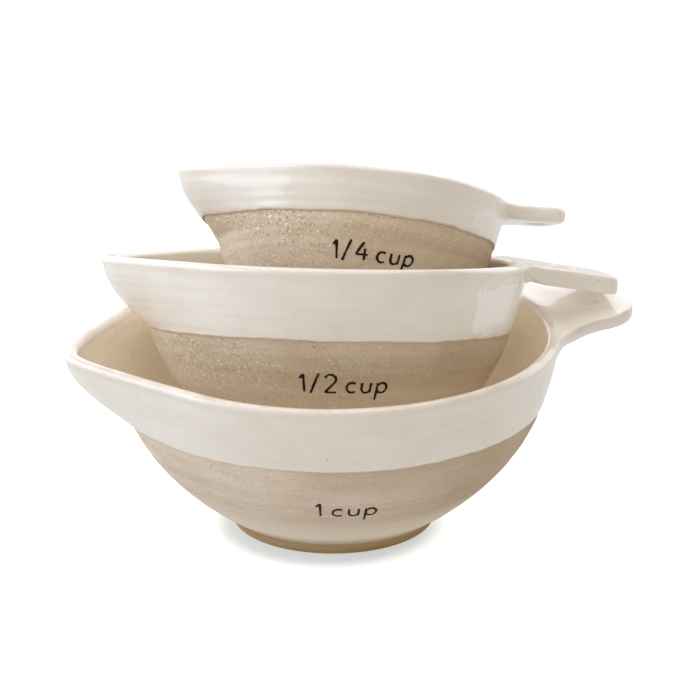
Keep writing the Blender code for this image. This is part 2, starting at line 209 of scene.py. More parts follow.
def spaced(points, count):
    """The polyline resampled to count points evenly along its length."""
    points = np.asarray(points, float)
    run = lengths_along(points)
    return points_at(np.linspace(0.0, run[-1], count), run, points)


def eased(points, reach, step=0.1):
    """The polyline, finely spaced, with its corners rounded over about reach mm."""
    points = np.asarray(points, float)
    fine = spaced(points, max(int(segment_lengths(points).sum() / step), 20))
    half = max(int(reach / step), 1)
    kernel = np.exp(-0.5 * (np.arange(-2 * half, 2 * half + 1) / half) ** 2)
    kernel /= kernel.sum()
    before = 2 * fine[0] - fine[2 * half : 0 : -1]
    after = 2 * fine[-1] - fine[-2 : -2 * half - 2 : -1]
    padded = np.concatenate([before, fine, after])
    out = np.stack([np.convolve(padded[:, k], kernel, "valid") for k in range(2)], 1)
    out[0], out[-1] = fine[0], fine[-1]
    return out


def normals_of(line):
    along = np.gradient(line, axis=0)
    along /= np.maximum(np.hypot(along[:, 0], along[:, 1]), 1e-9)[:, None]
    return np.stack([-along[:, 1], along[:, 0]], 1)


# Smooth, seeded waves that stand for the marks of a potter's fingers.
def rings(seed, z, theta, low=0.16, high=0.55, count=9):
    """Throwing rings: about -1 to 1, mostly level lines that rise slowly round the cup;
    low and high are their limits in rings per mm."""
    rng = np.random.default_rng(seed)
    pitch = np.exp(rng.uniform(np.log(low), np.log(high), count))
    phase = rng.uniform(0, 2 * np.pi, count)
    size = rng.uniform(0.5, 1.0, count)
    lobes = rng.integers(-1, 2, count)
    total = 0.0
    for k in range(count):
        climb = z + 2.2 * theta / (2 * np.pi) * np.sign(phase[k] - np.pi)
        bend = 0.5 * np.sin(lobes[k] * theta + phase[k]) + 0.35 * np.sin(2 * theta + 3 * phase[k])
        total = total + size[k] * np.sin(2 * np.pi * pitch[k] * climb + phase[k] + bend)
    return total / (0.7 * math.sqrt(count) * 1.6)


def wander(seed, theta, low, high, count=10):
    """A smooth closed wave round the cup, about -1 to 1, of low to high lobes."""
    rng = np.random.default_rng(seed)
    total = np.zeros_like(theta)
    for _ in range(count):
        lobes = int(rng.integers(low, high + 1))
        total += rng.uniform(0.4, 1.0) * np.sin(lobes * theta + rng.uniform(0, 2 * np.pi))
    return total / (0.75 * math.sqrt(count))


# ------------------------------------------------------------------ the bowl's profile
def profile_r(cup, z, low_z, low_r, rim_r):
    t = np.clip((np.asarray(z, float) - low_z) / (cup.height - low_z), 0.0, 1.0)
    rise = 1.0 - (1.0 - t**cup.swell) ** cup.belly
    return low_r + (rim_r - low_r) * (cup.flare * t + (1.0 - cup.flare) * rise)


def outer_r(cup, z):
    return profile_r(cup, z, cup.foot_h, cup.base_r, cup.rim_r)


def inner_r(cup, z):
    return profile_r(cup, z, cup.floor_z, cup.floor_r, cup.rim_r - cup.wall)


def rim_radii(cup):
    """Radii of the inner and outer ends of the rim's half circle."""
    return float(inner_r(cup, cup.rim_base)), float(outer_r(cup, cup.rim_base))


def wall_slope(cup, z):
    return (outer_r(cup, z + 0.1) - outer_r(cup, z - 0.1)) / 0.2


def wall_normal(cup, z):
    """The outward normal of the outside wall, its r and z parts."""
    slope = wall_slope(cup, z)
    return 1 / np.hypot(1, slope), -slope / np.hypot(1, slope)


def ring_push(cup, z, theta, depth=RING_DEPTH):
    """How far the rings move the outside; they are pressed in, so its size is kept."""
    return depth * rings(cup.seed, z, theta) - 0.5 * depth


def inside_line(cup):
    """(r, z) from the middle of the floor to where the rim starts."""
    top = cup.rim_base
    floor = [
        (r, cup.floor_mid + FLOOR_DIP * (r / cup.floor_r) ** 2)
        for r in np.linspace(0.0, cup.floor_r * 0.98, 30)
    ]
    z = cup.floor_z + (top - cup.floor_z) * np.linspace(0.0, 1.0, 400) ** 2.0
    line = np.concatenate([np.array(floor), np.stack([inner_r(cup, z), z], 1)])
    line = eased(line, 1.6)
    line[-1] = (inner_r(cup, top), top)
    return line


def rim_line(cup, start, end, count):
    """(r, z) round the rim; 0 is its inner end, 0.5 the crest and 1 its outer end."""
    inner, outer = rim_radii(cup)
    turn = np.pi * np.linspace(start, end, count)
    r = (inner + outer) / 2 - (outer - inner) / 2 * np.cos(turn)
    return np.stack([r, cup.rim_base + cup.wall / 2 * np.sin(turn)], 1)


def outside_line(cup, z_to):
    """(r, z) from the crest of the rim, over its outer half and down the outside."""
    z = np.linspace(cup.rim_base, z_to, 500)
    down = np.stack([outer_r(cup, z), z], 1)[1:]
    return np.concatenate([rim_line(cup, 0.5, 1.0, 40), down])


def hidden_line(cup, z_to, count):
    """(r, z) from the floor up the inside, over the rim and down the outside to z_to."""
    z = np.linspace(cup.rim_base, z_to, count)[1:]
    inside = spaced(inside_line(cup), HIDDEN_STEPS)[1:]
    rim = rim_line(cup, 0.0, 1.0, 9)[1:]
    return np.concatenate([inside, rim, np.stack([outer_r(cup, z), z], 1)])


# ------------------------------------------------------------------ round the cup
def spout_reach(cup, theta):
    off_spout = np.abs(np.pi - np.mod(theta, 2 * np.pi))
    spread, soft = math.radians(cup.spout_angle), math.radians(cup.spout_round)
    return 1.0 / np.cos(spread - np.minimum(np.hypot(off_spout, soft), spread))


def spout_share(cup, z):
    t = np.clip((z - (cup.height - cup.spout_drop)) / cup.spout_drop, 0.0, 1.0)
    return 1.0 - (1.0 - t) ** cup.spout_power


def turned_points(cup, r, z, level, theta):
    """Points at radius r and height z, with as much spout as there is at level."""
    grow = 1.0 + spout_share(cup, level) * (spout_reach(cup, theta) - 1.0)
    return np.stack([r * grow * np.cos(theta), r * grow * np.sin(theta), z + 0.0 * theta], -1)


def rim_wave(cup, theta):
    """The rim's small rise over the handle and its slight unevenness."""
    off_handle = np.abs(np.mod(theta + np.pi, 2 * np.pi) - np.pi)
    lift = cup.rim_lift * (1.0 - smooth((off_handle - math.radians(14)) / math.radians(26)))
    return lift + 0.10 * wander(cup.seed + 5, theta, 2, 5, count=5)


def lifted_points(cup, r, z, level, theta):
    """Turned points that, over the top 9 mm, move up with the rim."""
    points = turned_points(cup, r, z, level, theta)
    points[..., 2] += smooth((level - (cup.height - 9.0)) / 9.0) * rim_wave(cup, theta)
    return points


def sunk_rows(cup, line, depth, least_r, theta):
    """Rows of points that follow the line at a depth below the surface."""
    return [
        lifted_points(cup, max(r - out_r * depth, least_r), z - out_z * depth, z, theta)
        for (r, z), (out_r, out_z) in zip(line, normals_of(line))
    ]


def glaze_line(cup, theta):
    """Height of the lower edge of the glaze round the cup."""
    level = cup.glaze_level + cup.line_tilt * np.cos(theta)
    broad = 0.16 * wander(cup.seed + 1, theta, 3, 14)
    return level + broad + 0.07 * wander(cup.seed + 2, theta, 20, 60, count=14)


# ------------------------------------------------------------------ the handle's plan
def handle_outline(cup):
    """Half of the handle's outline, from well inside the rim to its tip."""
    tip, rim_r = cup.handle_tip, cup.rim_r
    half, root = cup.handle_w / 2, cup.root_w / 2
    flare_end = rim_r + 0.55 * (tip - rim_r)
    bend = tip - half * (1.0 if cup.end_power < 3 else 0.55)
    x = np.linspace(rim_r - 9.0, bend, 200)
    share = np.clip((flare_end - x) / (flare_end - rim_r), 0.0, 1.7)
    side = np.stack([x, half + (root - half) * share * share], 1)
    turn = np.linspace(0.0, np.pi / 2, 200)[1:]
    power = 2.0 / cup.end_power
    end_x = bend + (tip - bend) * np.sin(turn) ** power
    end = np.stack([end_x, half * np.maximum(np.cos(turn), 0.0) ** power], 1)
    end[-1] = (tip, 0.0)
    return np.concatenate([side, end])


def far_outline(cup):
    """The half on the +Y side.  Where it has its own shape: a straight slanting edge,
    then a rounded corner to the tip."""
    if cup.far_edge is None:
        return handle_outline(cup)
    tip = cup.handle_tip
    x_end, y_end, slope = cup.far_edge
    x = np.linspace(cup.rim_r - 13.0, x_end, 200)
    corner = y_end - (tip - x_end) * slope
    t = np.linspace(0.0, 1.0, 120)[1:]
    end_x = (1 - t) ** 2 * x_end + (1 - (1 - t) ** 2) * tip
    end = np.stack([end_x, (1 - t) ** 2 * y_end + 2 * t * (1 - t) * corner], 1)
    return np.concatenate([np.stack([x, y_end + (x_end - x) * slope], 1), end])


def half_tab(cup, outline):
    """The columns of one half of the handle, from its root to its tip: the share of the
    way, their points on the outline, its inward normals, and the root's angle."""
    line = eased(outline, 0.5)
    inside = np.hypot(line[:, 0], line[:, 1]) <= rim_radii(cup)[1]
    line = line[len(line) - int(np.argmax(inside[::-1])) :]
    root = math.atan2(line[0, 1], line[0, 0])
    run = lengths_along(line)
    half_count = cup.tab_columns // 2
    share = np.arange(half_count + 1) / half_count
    want = share * run[-1]
    spots = points_at(want, run, line)
    ahead = points_at(np.clip(want + 0.15, 0, run[-1]), run, line)
    behind = points_at(np.clip(want - 0.15, 0, run[-1]), run, line)
    along = ahead - behind
    along /= np.hypot(along[:, 0], along[:, 1])[:, None]
    inward = np.stack([along[:, 1], -along[:, 0]], 1)
    inward[-1] = (-1.0, 0.0)
    return share, spots, inward, root


# The mesh's columns: their angles at the rim and, for those on the handle, the points of
# the outline they run out to and its inward normals there.
Columns = namedtuple("Columns", "theta spots inwards on_tab")


def columns_of(cup):
    share, near_spots, near_inward, near_root = half_tab(cup, handle_outline(cup))
    _, far_spots, far_inward, far_root = half_tab(cup, far_outline(cup))
    # the handle, from its root on the -Y side round the tip to its root on the +Y side
    mirror = np.array([1.0, -1.0])
    spots = np.concatenate([near_spots * mirror, far_spots[-2::-1]])
    inwards = np.concatenate([near_inward * mirror, far_inward[-2::-1]])
    tab_theta = np.concatenate([-near_root * (1 - share), far_root * (1 - share[-2::-1])])
    # the rest of the way round, closer together near the spout's tip
    t = np.linspace(0.0, 1.0, cup.columns + 2)[1:-1]
    t = t + 0.055 * np.sin(2 * np.pi * t)
    rest_theta = far_root + (2 * np.pi - far_root - near_root) * t
    none = np.zeros((cup.columns, 2))
    return Columns(
        theta=np.concatenate([tab_theta, rest_theta]),
        spots=np.concatenate([spots, none]),
        inwards=np.concatenate([inwards, none]),
        on_tab=np.arange(len(tab_theta) + cup.columns) < len(tab_theta),
    )


def plane_z(cup, x, y):
    """Height of the top face of the handle at x, y."""
    rise, twist = math.radians(cup.handle_rise), math.radians(cup.handle_twist)
    root_z = cup.height - cup.handle_drop
    return root_z + (x - cup.rim_r) * math.tan(rise) + y * math.tan(twist)


# ------------------------------------------------------------------ meshes
def closed_grid(name, rows, poles):
    """A closed mesh from rows of points, each row a ring, with a point at each end."""
    count, width, _ = rows.shape
    points = np.concatenate([rows.reshape(-1, 3), np.array(poles, float)])
    index = np.arange(count * width).reshape(count, width)
    right = np.roll(index, -1, 1)
    quads = np.stack([index[:-1], right[:-1], right[1:], index[1:]], -1).reshape(-1, 4)
    first, last = count * width, count * width + 1
    caps = [(first, int(b), int(a)) for a, b in zip(index[0], right[0])]
    caps += [(last, int(a), int(b)) for a, b in zip(index[-1], right[-1])]
    mesh = bpy.data.meshes.new(name)
    mesh.from_pydata((points * MM).tolist(), [], quads.tolist() + caps)
    mesh.validate()
    work = bmesh.new()
    work.from_mesh(mesh)
    bmesh.ops.recalc_face_normals(work, faces=work.faces)
    if work.calc_volume(signed=True) < 0:
        bmesh.ops.reverse_faces(work, faces=work.faces)
    work.to_mesh(mesh)
    work.free()
    mesh.shade_smooth()
    return mesh


def add_attribute(mesh, name, width, parts, poles):
    """A value at each point of a closed grid.  Each part is a count of rows and their
    values, which are spread over the rows and the grid's width."""
    values = [np.broadcast_to(value, (count, width)).ravel() for count, value in parts]
    layer = mesh.attributes.new(name, "FLOAT", "POINT")
    layer.data.foreach_set("value", np.concatenate([*values, poles]).astype(np.float32))


def place(name, mesh, cup, stands_for):
    """The mesh as an object in the frame.  Its points keep their place in the cup's own
    frame, in metres, in the attribute "local", which the materials' patterns follow."""
    own = np.zeros(len(mesh.vertices) * 3, np.float32)
    mesh.vertices.foreach_get("co", own)
    layer = mesh.attributes.new("local", "FLOAT_VECTOR", "POINT")
    layer.data.foreach_set("vector", own)
    mesh.transform(rest_matrix(cup))
    obj = bpy.data.objects.new(name, mesh)
    bpy.context.scene.collection.objects.link(obj)
    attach(obj, cup.name)
    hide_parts(*stands_for)


# ------------------------------------------------------------------ the glazed skin
# Rows of the outside, from the crest of the rim down: over the handle's top, round its
# edge, back underneath, down the fillet, then down the wall and round the glaze's lip.
TOP_ROWS, EDGE_ROWS, UNDER_ROWS, FILLET_ROWS, WALL_ROWS, LIP_ROWS = 16, 14, 10, 14, 22, 5
HANDLE_GROWTH = 3.4  # the handle reaches its full shape this far out from the rim
LIP_RADIUS = 0.30  # rounding of the glaze's lower edge
RELAX_ROUNDS = 10
FAR_FROM_LINE = 20.0  # "line_gap" where the glaze's edge doesn't matter

# The plain outside: its (r, z) line, lengths along it and the r part of its normals.
Wall = namedtuple("Wall", "line run normal_r")


def plain_wall(cup):
    line = outside_line(cup, cup.foot_h + 2.0)
    return Wall(line, lengths_along(line), normals_of(line)[:, 0])


def inner_rows(cup, line, theta):
    """Rows up the inside to the crest, with throwing rings clear of floor and rim."""
    z_line = line[:, 1]
    ringed = smooth((z_line - cup.floor_z) / 5.0)
    ringed = ringed * (1 - smooth((z_line - (cup.height - 5.0)) / 3.5))
    rows = []
    for (r, z), (out_r, out_z), share in zip(line, normals_of(line), ringed):
        push = 0.13 * share * rings(cup.seed + 31, z, theta, low=0.12, high=0.40)
        rows.append(lifted_points(cup, r + out_r * push, z + out_z * push, z, theta))
    return np.array(rows)


def upper_runs(cup):
    """Lengths from the crest, on the plain wall, of the rows that form the handle."""
    top = cup.wall * 0.30
    edge = cup.wall * 0.85
    under = edge + max(cup.handle_t - 0.6 * cup.wall, 0.8)
    fillet = under + cup.fillet_down + 1.2
    return np.concatenate([
        np.linspace(0, top, TOP_ROWS + 1)[1:],
        np.linspace(top, edge, EDGE_ROWS + 1)[1:],
        np.linspace(edge, under, UNDER_ROWS + 1)[1:],
        np.linspace(under, fillet, FILLET_ROWS + 1)[1:],
    ])


def wall_rows(cup, wall, run, theta):
    """Points of the outside at lengths run from the crest, and their plain heights."""
    r = np.interp(run, wall.run, wall.line[:, 0])
    z = np.interp(run, wall.run, wall.line[:, 1])
    normal_r = np.interp(run, wall.run, wall.normal_r)
    below_rim = smooth((cup.height - 3.0 - z) / 3.0)
    push = ring_push(cup, z, theta, RING_DEPTH * below_rim)
    # a finger's soft groove under the rim's rounded lip
    middle = 4.3 + 0.4 * np.sin(theta * 2 + cup.seed) + 0.25 * np.sin(theta * 5 + 1.0)
    push = push - cup.groove * np.exp(-(((run - middle) / 1.3) ** 2))
    return lifted_points(cup, r + np.abs(normal_r) * push, z, z, theta), z


def handle_rows(cup, columns, wall_end):
    """Rows over the handle from the crest to wall_end, a row of points on the wall."""
    theta, inwards, thick = columns.theta, columns.inwards, cup.handle_t
    inner, outer = rim_radii(cup)
    crest_r = (inner + outer) / 2
    radial = np.stack([np.cos(theta), np.sin(theta)], 1)
    crest_xy, rim_xy = radial * crest_r, radial * outer
    core = columns.spots + inwards * cup.edge  # where the rounded edge starts

    def top_z(xy):
        x, y = xy[:, 0], xy[:, 1]
        blend = smooth((np.hypot(x, y) - crest_r) / 6.5)
        return (cup.height + rim_wave(cup, theta)) * (1 - blend) + plane_z(cup, x, y) * blend

    rows = []
    for i in range(1, TOP_ROWS + 1):
        share = (i / TOP_ROWS) ** 1.15
        xy = crest_xy * (1 - share) + core * share
        rows.append(np.column_stack([xy, top_z(xy)]))
    core_top = top_z(core)
    for i in range(1, EDGE_ROWS + 1):
        turn = np.pi * i / EDGE_ROWS
        cosine, sine = math.cos(turn), math.sin(turn)
        out = cup.edge * abs(sine) ** (2 / cup.edge_power)
        up = math.copysign(abs(cosine) ** (2 / cup.edge_power), cosine) * thick / 2
        rows.append(np.column_stack([core - inwards * out, core_top - thick / 2 + up]))
    # underneath: from the core towards the wall, then a fillet down it
    to_wall = rim_xy - core
    away = np.maximum(np.hypot(to_wall[:, 0], to_wall[:, 1]), 1e-6)
    span = np.minimum(cup.fillet_out, away * 0.92)
    start = core + to_wall * ((away - span) / away)[:, None]
    start_z = top_z(start) - thick
    for i in range(1, UNDER_ROWS + 1):
        share = i / UNDER_ROWS
        z = (core_top - thick) * (1 - share) + start_z * share
        rows.append(np.column_stack([core * (1 - share) + start * share, z]))
    corner_xy = radial * outer_r(cup, cup.height - cup.handle_drop - thick - 1.0)
    corner_z = start_z + (top_z(rim_xy) - thick - start_z) * 0.6
    corner = np.column_stack([corner_xy, corner_z])
    begin = np.column_stack([start, start_z])
    for i in range(1, FILLET_ROWS + 1):
        share = i / FILLET_ROWS
        rows.append(
            begin * (1 - share) ** 2 + corner * (2 * share * (1 - share)) + wall_end * share * share
        )
    return np.array(rows)


def relaxed(crest, outside, reach, on_tab):
    """The outside, softened where the handle grows out of the rim and the wall."""
    column_soft = np.exp(-(((reach - 1.5) / 4.0) ** 2)) * on_tab
    for _ in range(6):
        beside = np.maximum(np.roll(column_soft, 1), np.roll(column_soft, -1))
        column_soft = np.maximum(column_soft, 0.85 * beside)
    row_soft = np.ones(len(outside))
    row_soft[-6:] = np.linspace(1, 0, 6)
    row_soft[:2] = (0.0, 0.5)
    amount = (row_soft[:, None] * column_soft[None, :])[..., None]
    full = np.concatenate([crest, outside])
    for _ in range(RELAX_ROUNDS):
        across = (np.roll(full, 1, 1) + np.roll(full, -1, 1)) / 2
        down = full.copy()
        down[1:-1] = (full[:-2] + full[2:]) / 2
        mean = 0.6 * across + 0.4 * down
        full[1:] += 0.5 * amount * (mean[1:] - full[1:])
    return full[1:]


def lip_rows(cup, edge_z, theta):
    """The rounded lip at the glaze's lower edge."""
    edge_r = outer_r(cup, edge_z)
    normal_r, normal_z = wall_normal(cup, edge_z)
    push = ring_push(cup, edge_z, theta)
    rows = []
    for i in range(1, LIP_ROWS + 1):
        turn = np.pi / 2 * i / LIP_ROWS
        back = LIP_RADIUS * (1 - math.cos(turn))
        down = LIP_RADIUS * 1.1 * math.sin(turn)
        r = edge_r - normal_r * back + normal_z * down
        z = edge_z - normal_z * back - normal_r * down
        rows.append(turned_points(cup, r + normal_r * push, z, edge_z, theta))
    return np.array(rows)


def glazed_mesh(cup):
    columns = columns_of(cup)
    theta = columns.theta
    width = len(theta)
    edge_z = glaze_line(cup, theta)

    inside = spaced(inside_line(cup), 60)[1:]
    inner_line = np.concatenate([inside, rim_line(cup, 0.0, 0.5, 10)[1:]])
    front = inner_rows(cup, inner_line, theta)

    # the wall, with the handle in place of it on the handle's columns
    wall = plain_wall(cup)
    handle_runs = upper_runs(cup)
    upper_run = np.repeat(handle_runs[:, None], width, 1)
    upper, upper_z = wall_rows(cup, wall, upper_run, theta)
    reach = np.hypot(columns.spots[:, 0], columns.spots[:, 1]) - rim_radii(cup)[1]
    weight = np.where(columns.on_tab, smooth(reach / HANDLE_GROWTH), 0.0)
    handle = handle_rows(cup, columns, upper[-1])
    upper = upper * (1 - weight)[None, :, None] + handle * weight[None, :, None]

    # the wall below, down to the edge of the glaze
    edge_run = np.interp(-edge_z, -wall.line[:, 1], wall.run)
    share = np.linspace(0, 1, WALL_ROWS + 1)[1:]
    lower_run = handle_runs[-1] + (edge_run - handle_runs[-1])[None, :] * share[:, None]
    lower, lower_z = wall_rows(cup, wall, lower_run, theta)
    outside = relaxed(front[-1:], np.concatenate([upper, lower]), reach, columns.on_tab)

    lip = lip_rows(cup, edge_z, theta)
    # the hidden side: back up under the coat, over the rim and down to the floor
    under_line = hidden_line(cup, cup.glaze_level + 1.2, 10)
    hidden = np.array(sunk_rows(cup, under_line, COAT_DEPTH, 0.01, theta))[::-1]
    poles = [(0, 0, cup.floor_mid), (0, 0, cup.floor_mid - COAT_DEPTH)]
    rows = np.concatenate([front, outside, lip, hidden])
    mesh = closed_grid(cup.name + "_glazed", rows, poles)

    def add(name, on_front, on_outside, on_lip, on_hidden, on_poles):
        parts = [
            (len(front), on_front), (len(outside), on_outside),
            (len(lip), on_lip), (len(hidden), on_hidden),
        ]
        add_attribute(mesh, name, width, parts, [on_poles, on_poles])

    # thin: how worn the glaze is, at the crest and the handle's edge
    inner_z = inner_line[:, 1:]
    run = np.concatenate([upper_run, lower_run])
    on_handle = np.zeros(run.shape)
    on_handle[: len(upper)] = weight
    edge = np.zeros(len(run))
    edge_index = np.arange(TOP_ROWS - 2, TOP_ROWS + EDGE_ROWS)
    edge[edge_index] = np.exp(-(((edge_index - (TOP_ROWS + 3)) / 3.0) ** 2))
    thin_out = np.exp(-((run / 1.6) ** 2)) * (1 - on_handle)
    thin_out = thin_out + 0.8 * (edge[:, None] * weight[None, :])
    add("thin", np.exp(-(((cup.height - inner_z) / 1.5) ** 2)), thin_out, 0.0, 0.0, 0.0)
    # inside: 1 inside the bowl, fading out at the rim
    add("inside", 1 - smooth((inner_z - (cup.height - 4.0)) / 4.0), 0.0, 0.0, 0.0, 1.0)
    # line_gap: height above the glaze's lower edge, in mm
    gap = np.concatenate([upper_z, lower_z]) - edge_z[None, :]
    add("line_gap", FAR_FROM_LINE, gap, 0.0, FAR_FROM_LINE, FAR_FROM_LINE)
    # pool: painted reflection, a pale patch on the -Y side of the handle
    side = np.degrees(np.mod(theta + np.pi, 2 * np.pi) - np.pi)
    along = smooth((side + 74.0) / 36.0) * (1 - smooth((side + 20.0) / 8.0)) * cup.pool
    down = smooth((run - 2.6) / 5.5) * (1 - smooth((run - edge_run[None, :] + 2.2) / 2.6))
    add("pool", 0.0, along[None, :] * down, 0.0, 0.0, 0.0)
    return mesh


# ------------------------------------------------------------------ the hang hole
HOLE_SOFT = 1.0  # width over which the faces round in towards the hole
# The glaze on the wall of the hole.
HOLE_GLAZE = {"line_gap": 0.16, "thin": 0.3, "inside": 0.0, "pool": 0.0}


def drill_hole(obj, cup):
    """Rounds the faces of the handle in towards the hole, then cuts it."""
    hole_x, hole_y = cup.hole_x, cup.hole_y
    middle_z = float(plane_z(cup, hole_x, hole_y)) - cup.handle_t / 2
    soft_r = cup.hole_r + HOLE_SOFT

    def from_axis(vert):
        return math.hypot(vert.co.x / MM - hole_x, vert.co.y / MM - hole_y)

    def near(vert, radius):
        return from_axis(vert) < radius and abs(vert.co.z / MM - middle_z) < cup.handle_t

    mesh = obj.data
    work = bmesh.new()
    work.from_mesh(mesh)
    edges = [e for e in work.edges if all(near(vert, soft_r + 0.5) for vert in e.verts)]
    bmesh.ops.subdivide_edges(work, edges=edges, cuts=1, use_grid_fill=True)
    for vert in work.verts:
        if not near(vert, soft_r):
            continue
        x, y, z = vert.co / MM
        depth = soft_r - math.hypot(x - hole_x, y - hole_y)
        left = max(HOLE_SOFT * HOLE_SOFT - min(depth, HOLE_SOFT) ** 2, 0.0)
        sink = 0.85 * (HOLE_SOFT - math.sqrt(left))
        above = z > plane_z(cup, x, y) - cup.handle_t / 2
        vert.co.z += (-sink if above else sink) * MM
    bmesh.ops.triangulate(work, faces=[f for f in work.faces if len(f.verts) > 4])
    work.to_mesh(mesh)
    work.free()

    bpy.ops.mesh.primitive_cylinder_add(
        vertices=64, radius=(cup.hole_r + 0.1) * MM, depth=20 * MM
    )
    drill = bpy.context.object
    drill.data.transform(Matrix.Translation((hole_x * MM, hole_y * MM, cup.height * MM)))
    cut = obj.modifiers.new("hole", "BOOLEAN")
    cut.operation = "DIFFERENCE"
    cut.solver = "MANIFOLD"
    cut.object = drill
    bpy.context.view_layer.update()
    graph = bpy.context.evaluated_depsgraph_get()
    made = bpy.data.meshes.new_from_object(obj.evaluated_get(graph), depsgraph=graph)
    obj.modifiers.clear()
    obj.data = made
    made.name = mesh.name
    bpy.data.meshes.remove(mesh)
    bpy.data.objects.remove(drill, do_unlink=True)
    made.shade_smooth()
    made.set_sharp_from_angle(angle=math.radians(50))
    # the wall of the hole is coated like the rest
    for name, value in HOLE_GLAZE.items():
        layer = made.attributes[name]
        for i, vert in enumerate(made.vertices):
            if near(vert, cup.hole_r + 0.25):
                layer.data[i].value = value


# ------------------------------------------------------------------ the stoneware
def bare_rows(cup, theta, heights):
    """The bare wall: under the coat's lip at its top, at full size lower down."""
    rows = []
    for z, normal_r, normal_z in zip(heights, *wall_normal(cup, heights)):
        sunk = 0.34 * (1 - smooth((cup.glaze_level - 0.3 - z) / 3.0))
        ringed = smooth((z - cup.foot_h - 0.4) / 3.0)
        fine = 0.03 * rings(cup.seed + 9, z, theta, low=0.5, high=1.1)
        push = ringed * (ring_push(cup, z, theta) + fine) - sunk
        r = float(outer_r(cup, z)) + normal_r * push
        rows.append(turned_points(cup, r, z + normal_z * push, z, theta))
    return rows


def foot_line(cup):
    """(r, z) of a soft step in, a short side, a rounded edge and the standing ring."""
    r, h = cup.foot_r, cup.foot_h
    corners = [
        (float(outer_r(cup, h + 0.4)), h + 0.4), (cup.base_r - 0.25, h - 0.05),
        (r + 0.45, h - 0.55), (r + 0.12, h - 1.2), (r, 0.9), (r - 0.08, 0.5),
        (r - 0.5, 0.0), (r - 2.0, 0.0),
    ]
    line = spaced(eased(corners, 0.22), 26)[1:]
    line[:, 1] = np.maximum(line[:, 1], 0.0)
    return line


def underside_rows(cup, theta):
    """A shallow turned hollow, with a flat ring left to stand on."""
    rows = []
    for r in np.linspace(cup.foot_r - 2.0, 1.5, 22)[1:]:
        hollow = 0.35 * smooth((cup.foot_r - 4.0 - r) / 2.0)
        ripple = 0.03 * math.sin(r * 2.4) * smooth((cup.foot_r - 5.0 - r) / 2.0)
        rows.append(turned_points(cup, r, max(hollow + ripple, 0.0), 0.0, theta))
    return rows


def stoneware_mesh(cup):
    theta = columns_of(cup).theta
    level = cup.glaze_level
    under_glaze = hidden_line(cup, level + 1.6, 9)
    rows = sunk_rows(cup, under_glaze, CLAY_DEPTH, 0.02, theta)
    down = np.linspace(level + 0.5, cup.foot_h + 0.4, 46)
    bare_z = np.concatenate([[level + 1.3, level + 0.9], down])
    rows += bare_rows(cup, theta, bare_z)
    foot = foot_line(cup)
    for r, z in foot:
        uneven = 0.06 * wander(cup.seed + 7, theta, 2, 9) * smooth((z - 0.2) / 1.0)
        rows.append(turned_points(cup, r + uneven, z, 0.0, theta))
    underside = underside_rows(cup, theta)
    rows = np.array(rows + underside)
    poles = [(0, 0, cup.floor_mid - CLAY_DEPTH), (0, 0, 0.35)]
    mesh = closed_grid(cup.name + "_stoneware", rows, poles)

    flat = np.zeros(len(underside))
    row_z = np.concatenate([under_glaze[:, 1], bare_z, foot[:, 1], flat])[:, None]
    edge_gap = glaze_line(cup, theta)[None, :] - row_z
    for name, values, pole_values in (
        ("foot", 1 - smooth((row_z - 2.2) / (cup.foot_h + 1.8)), [0.0, 1.0]),
        # low: where the painted bounce light from the floor is strongest
        ("low", 1 - smooth((row_z - cup.foot_h - 4.0) / 11.0), [0.0, 1.0]),
        ("line_gap", edge_gap, [FAR_FROM_LINE, FAR_FROM_LINE]),
    ):
        add_attribute(mesh, name, len(theta), [(len(rows), values)], pole_values)
    return mesh


# ------------------------------------------------------------------ capacity marks
def arc(x, y, radius_x, radius_y, start, end, count):
    turns = [math.radians(start + (end - start) * i / (count - 1)) for i in range(count)]
    return [(x + radius_x * math.cos(t), y + radius_y * math.sin(t)) for t in turns]


# Each character's width and pen strokes, in shares of the mark's height.
GLYPHS = {
    "1": (0.28, [[(0.02, 0.74), (0.20, 1.0), (0.20, 0.0)]]),
    "/": (0.52, [[(0.04, -0.08), (0.46, 1.08)]]),
    "2": (0.60, [arc(0.29, 0.72, 0.25, 0.28, 165, -35, 17) + [(0.04, 0.0), (0.58, 0.0)]]),
    "4": (0.66, [[(0.40, 1.0), (0.03, 0.32), (0.64, 0.32)], [(0.46, 0.66), (0.46, 0.0)]]),
    "c": (0.52, [arc(0.28, 0.28, 0.25, 0.28, 48, 312, 21)]),
    "u": (0.56, [
        [(0.05, 0.56)] + arc(0.26, 0.22, 0.21, 0.22, 180, 360, 17),
        [(0.47, 0.56), (0.47, 0.0)],
    ]),
    "p": (0.58, [[(0.06, 0.56), (0.06, -0.42)], arc(0.29, 0.28, 0.23, 0.28, 150, -150, 23)]),
}
GLYPH_NAMES = {"/": "slash"}
LETTER_SPACE, WORD_SPACE = 0.17, 0.42
GLYPH_MIDDLE = 0.4  # the height of a character that sits at mark_z
PEN_HALF_WIDTH = 0.31
INK_HALF_THICKNESS = 0.10
INK_PROUD = 0.05  # the middle of the ink above the wall
PEN_SIDES = 10


def layout(text):
    """The characters with their left edges, centred on 0."""
    x, placed = 0.0, []
    for char in text:
        if char == " ":
            x += WORD_SPACE - LETTER_SPACE
            continue
        placed.append((char, x))
        x += GLYPHS[char][0] + LETTER_SPACE
    middle = (x - LETTER_SPACE) / 2
    return [(char, left - middle) for char, left in placed]


